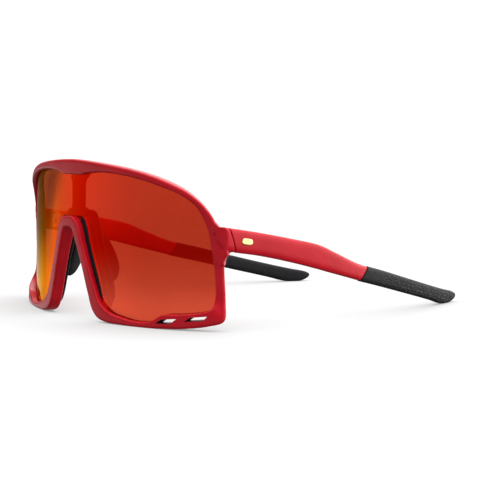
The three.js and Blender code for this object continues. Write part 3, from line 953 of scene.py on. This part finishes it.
def backdrop_only(obj):
    """Seen by the camera; it neither lights the object nor shows in its reflections."""
    obj.visible_diffuse = False
    obj.visible_glossy = False
    obj.visible_transmission = False


FLOOR_REACH = 30
DOME_RADIUS = 40
DOME_ROWS = 24
DOME_COLUMNS = 48


def studio_sheets():
    corners = [(x * FLOOR_REACH, y * FLOOR_REACH, 0) for x, y in ((-1, -1), (1, -1), (1, 1), (-1, 1))]
    floor = mesh_object("floor", corners, [(0, 1, 2, 3)])
    pale = plain_material("pale_floor", (0.12, 0.12, 0.12), 0.82)
    # The floor's contact shadows are painted into its glow.
    painted_contact_shadow(pale, 0.05, [(0.0, 0.3), (0.5, 0.7), (1.0, 1.0)])
    floor.data.materials.append(pale)
    backdrop_only(floor)
    rows = []
    for elevation in np.radians(np.linspace(-89, 89, DOME_ROWS)):
        ring = circle((0, 0), DOME_RADIUS * math.cos(elevation), DOME_COLUMNS)
        rows += [(x, y, DOME_RADIUS * math.sin(elevation)) for x, y in ring]
    dome = mesh_object("backdrop", rows, grid_faces(DOME_ROWS, DOME_COLUMNS, False, True))
    dome.data.materials.append(plain_material("pale_backdrop", (0, 0, 0), 1.02))
    backdrop_only(dome)
    dome.visible_shadow = False


HALF_TURN = 3.1416
FULL = 4.0


def studio_light():
    """Soft light from all round. Brightness depends on height above the horizon and on the side.

    Ramps hold brightness as a share of FULL, which the last node gives back. Where a ramp blends
    two lights, 0 leaves the first and FULL the second.
    """
    world = bpy.data.worlds.new("studio")
    world.use_nodes = True
    tree = world.node_tree
    add_node = node_adder(tree)

    def add(kind, inputs, **settings):
        return add_node(kind, inputs, **settings).outputs[0]

    def steps(factor, low, high, stops):
        """Brightness along a ramp, for a factor from low to high. Stops are (factor, brightness)."""
        spread = add("MapRange", {0: factor, 1: low, 2: high})
        shares = [((at - low) / (high - low), value / FULL) for at, value in stops]
        return ramp(add_node, spread, shares)

    def blend(factor, first, second):
        return add("Mix", {0: factor, 2: first, 3: second})

    direction = tree.nodes.new("ShaderNodeTexCoord").outputs["Generated"]
    apart = tree.nodes.new("ShaderNodeSeparateXYZ")
    tree.links.new(direction, apart.inputs[0])
    x, y, z = apart.outputs
    ahead = add("Math", {0: y, 1: -1.0}, operation="MULTIPLY")
    azimuth = add("Math", {0: x, 1: ahead}, operation="ARCTAN2")

    floor_right = steps(z, -0.2, 0.06, [
        (-0.14, 1.3), (-0.095, 1.05), (-0.082, 0.68), (-0.061, 0.58), (-0.026, 0.72), (0.04, 0.7),
    ])
    side = steps(azimuth, -HALF_TURN, HALF_TURN, [
        (-3.1, 16), (-2.6, 5), (-1.6, 4), (-1.5, 5), (-1.34, 8), (-1.23, 5.7), (-1.1, 6.4), (-0.95, 6.8),
        (-0.8, 6), (-0.6, 5), (-0.35, 4), (-0.1, 3.7), (1.0, 3.7), (1.6, 9), (2.3, 10), (3.1, 16),
    ])
    floor_left = steps(z, -0.2, 0.06, [
        (-0.14, 1.9), (-0.105, 1.65), (-0.093, 1.05), (-0.073, 0.3), (-0.044, 0.03), (0.0, 0.03),
    ])
    lean = add("Math", {0: z, 1: -6.0, 2: azimuth}, operation="MULTIPLY_ADD")
    turn = steps(lean, -2.6, -0.8, [
        (-2.5, 0), (-2.1, 2.6), (-1.6, 2.8), (-1.34, 3.4), (-1.2, 4), (-1.1, 3.3), (-1.0, 0.5), (-0.94, 0),
    ])
    right = add("Math", {0: floor_right, 1: side}, operation="MULTIPLY")
    near = blend(turn, right, floor_left)
    above = steps(azimuth, -HALF_TURN, HALF_TURN, [
        (-2.9, 3.6), (-2.1, 1.8), (-1.6, 0.4), (-1.2, 0.15), (0.9, 0.15), (1.6, 1.6), (2.1, 2.4), (2.8, 3.8),
    ])
    ceiling = steps(z, 0.2, 1.0, [(0.5, 0.0), (0.82, FULL)])
    sky = blend(ceiling, above, 0.66)
    horizon = steps(z, 0.0, 0.12, [(0.0, 0.0), (0.12, FULL)])
    light = blend(horizon, near, sky)
    deep = steps(z, -0.3, -0.14, [(-0.3, FULL), (-0.15, 0.0)])
    light = blend(deep, light, 0.06)
    strength = add("Math", {0: light, 1: FULL}, operation="MULTIPLY")
    background = tree.nodes["Background"]
    background.inputs["Color"].default_value = (1, 1, 1, 1)
    tree.links.new(strength, background.inputs["Strength"])
    bpy.context.scene.world = world


CAMERA_TARGET = Vector((0.03618, -0.02122, 0.02901))
CAMERA_AZIMUTH = math.radians(53.81)
CAMERA_ELEVATION = math.radians(5.02)
CAMERA_DISTANCE = 0.68
CAMERA_LENS = 127.36


def camera():
    data = bpy.data.cameras.new("camera")
    data.lens = CAMERA_LENS
    data.sensor_width = 36
    data.clip_start = 0.01
    made = bpy.data.objects.new("camera", data)
    bpy.context.scene.collection.objects.link(made)
    a, e = CAMERA_AZIMUTH, CAMERA_ELEVATION
    away = Vector((math.sin(a) * math.cos(e), -math.cos(a) * math.cos(e), math.sin(e)))
    made.location = CAMERA_TARGET + away * CAMERA_DISTANCE
    made.rotation_euler = (-away).to_track_quat("-Z", "Y").to_euler()
    bpy.context.scene.camera = made


studio_sheets()
studio_light()
camera()
